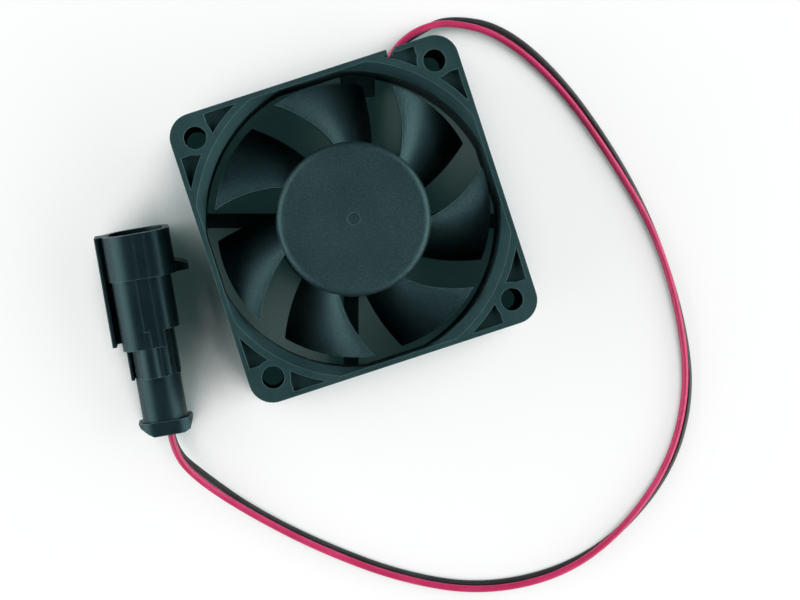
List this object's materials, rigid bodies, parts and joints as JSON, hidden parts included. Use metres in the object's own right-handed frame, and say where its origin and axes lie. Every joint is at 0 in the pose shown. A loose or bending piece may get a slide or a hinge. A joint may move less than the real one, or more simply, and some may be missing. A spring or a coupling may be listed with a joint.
{
  "type": "server fan module",
  "caption": "Square axial fan with a ducted impeller, a brushless ball-bearing motor and twin leads that end in a sealed connector",
  "frame": {"origin": "under the shaft, in the plane of the frame's rear face, which the fan rests on", "axes": "+Z along the shaft towards the inlet face, +Y towards the side wall with the wire slot, +X towards the corner that the slot is next to"},
  "size_m": [0.1139, 0.1172, 0.025],
  "materials": {
    "frame_plastic": "satin, glass-filled",
    "impeller_plastic": "satin, glass-filled",
    "brass": "turned",
    "bearing_steel": "polished",
    "cage_plastic": "plain",
    "shield_steel": "satin",
    "shaft_steel": "ground",
    "spring_steel": "dull",
    "yoke_steel": "zinc plated",
    "magnet_ferrite": "rubber-bonded ferrite",
    "core_steel": "laminated",
    "insulator_plastic": "plain",
    "copper_wire": "enamelled copper",
    "board": "solder mask",
    "chip_plastic": "moulded",
    "ceramic_chip": "plain",
    "solder": "bright",
    "label_film": "satin film, bare",
    "red_insulation": "satin",
    "black_insulation": "satin",
    "connector_plastic": "satin",
    "seal_rubber": "silicone",
    "contact_metal": "tin plated"
  },
  "bodies": {
    "fan_frame": {"frame_housing": "frame_plastic", "bearing_tube": "brass", "rear_label": "label_film", "rear_bearing_outer_race": "bearing_steel", "rear_bearing_shields": "shield_steel", "front_bearing_outer_race": "bearing_steel", "front_bearing_shields": "shield_steel", "stator_core": "core_steel", "lower_insulator": "insulator_plastic", "upper_insulator": "insulator_plastic", "winding_1": "copper_wire", "winding_2": "copper_wire", "winding_3": "copper_wire", "winding_4": "copper_wire", "circuit_board": "board", "hall_sensor": "chip_plastic", "driver_chip": "chip_plastic", "capacitor": "ceramic_chip", "resistors": "chip_plastic", "solder_joints": "solder", "red_lead_inner": "red_insulation", "black_lead_inner": "black_insulation", "red_lead": "red_insulation", "black_lead": "black_insulation", "connector_housing": "connector_plastic", "connector_collar": "connector_plastic", "pin_lock_plate": "connector_plastic", "red_wire_seal": "seal_rubber", "black_wire_seal": "seal_rubber", "red_contact_pin": "contact_metal", "black_contact_pin": "contact_metal", "red_lead_end": "red_insulation", "black_lead_end": "black_insulation"},
    "rotor": {"impeller": "impeller_plastic", "rotor_yoke": "yoke_steel", "ring_magnet": "magnet_ferrite", "shaft": "shaft_steel", "retaining_clip": "spring_steel", "thrust_washer": "cage_plastic", "preload_spring": "spring_steel", "rear_bearing_inner_race": "bearing_steel", "front_bearing_inner_race": "bearing_steel"},
    "rear_ball_ring": {"rear_balls": "bearing_steel", "rear_ball_cage": "cage_plastic"},
    "front_ball_ring": {"front_balls": "bearing_steel", "front_ball_cage": "cage_plastic"}
  },
  "joints": [
    {"name": "impeller_spin", "type": "hinge", "parent": "fan_frame", "child": "rotor", "pos_m": [0, 0, 0], "axis": [0, 0, 1], "continuous": true},
    {"name": "rear_balls_roll", "type": "hinge", "parent": "fan_frame", "child": "rear_ball_ring", "pos_m": [0, 0, 0.005], "axis": [0, 0, 1], "continuous": true},
    {"name": "front_balls_roll", "type": "hinge", "parent": "fan_frame", "child": "front_ball_ring", "pos_m": [0, 0, 0.0162], "axis": [0, 0, 1], "continuous": true}
  ],
  "couplings": [
    {"joint": "rear_balls_roll", "follows": "impeller_spin", "ratio": 0.3909},
    {"joint": "front_balls_roll", "follows": "impeller_spin", "ratio": 0.3909}
  ]
}
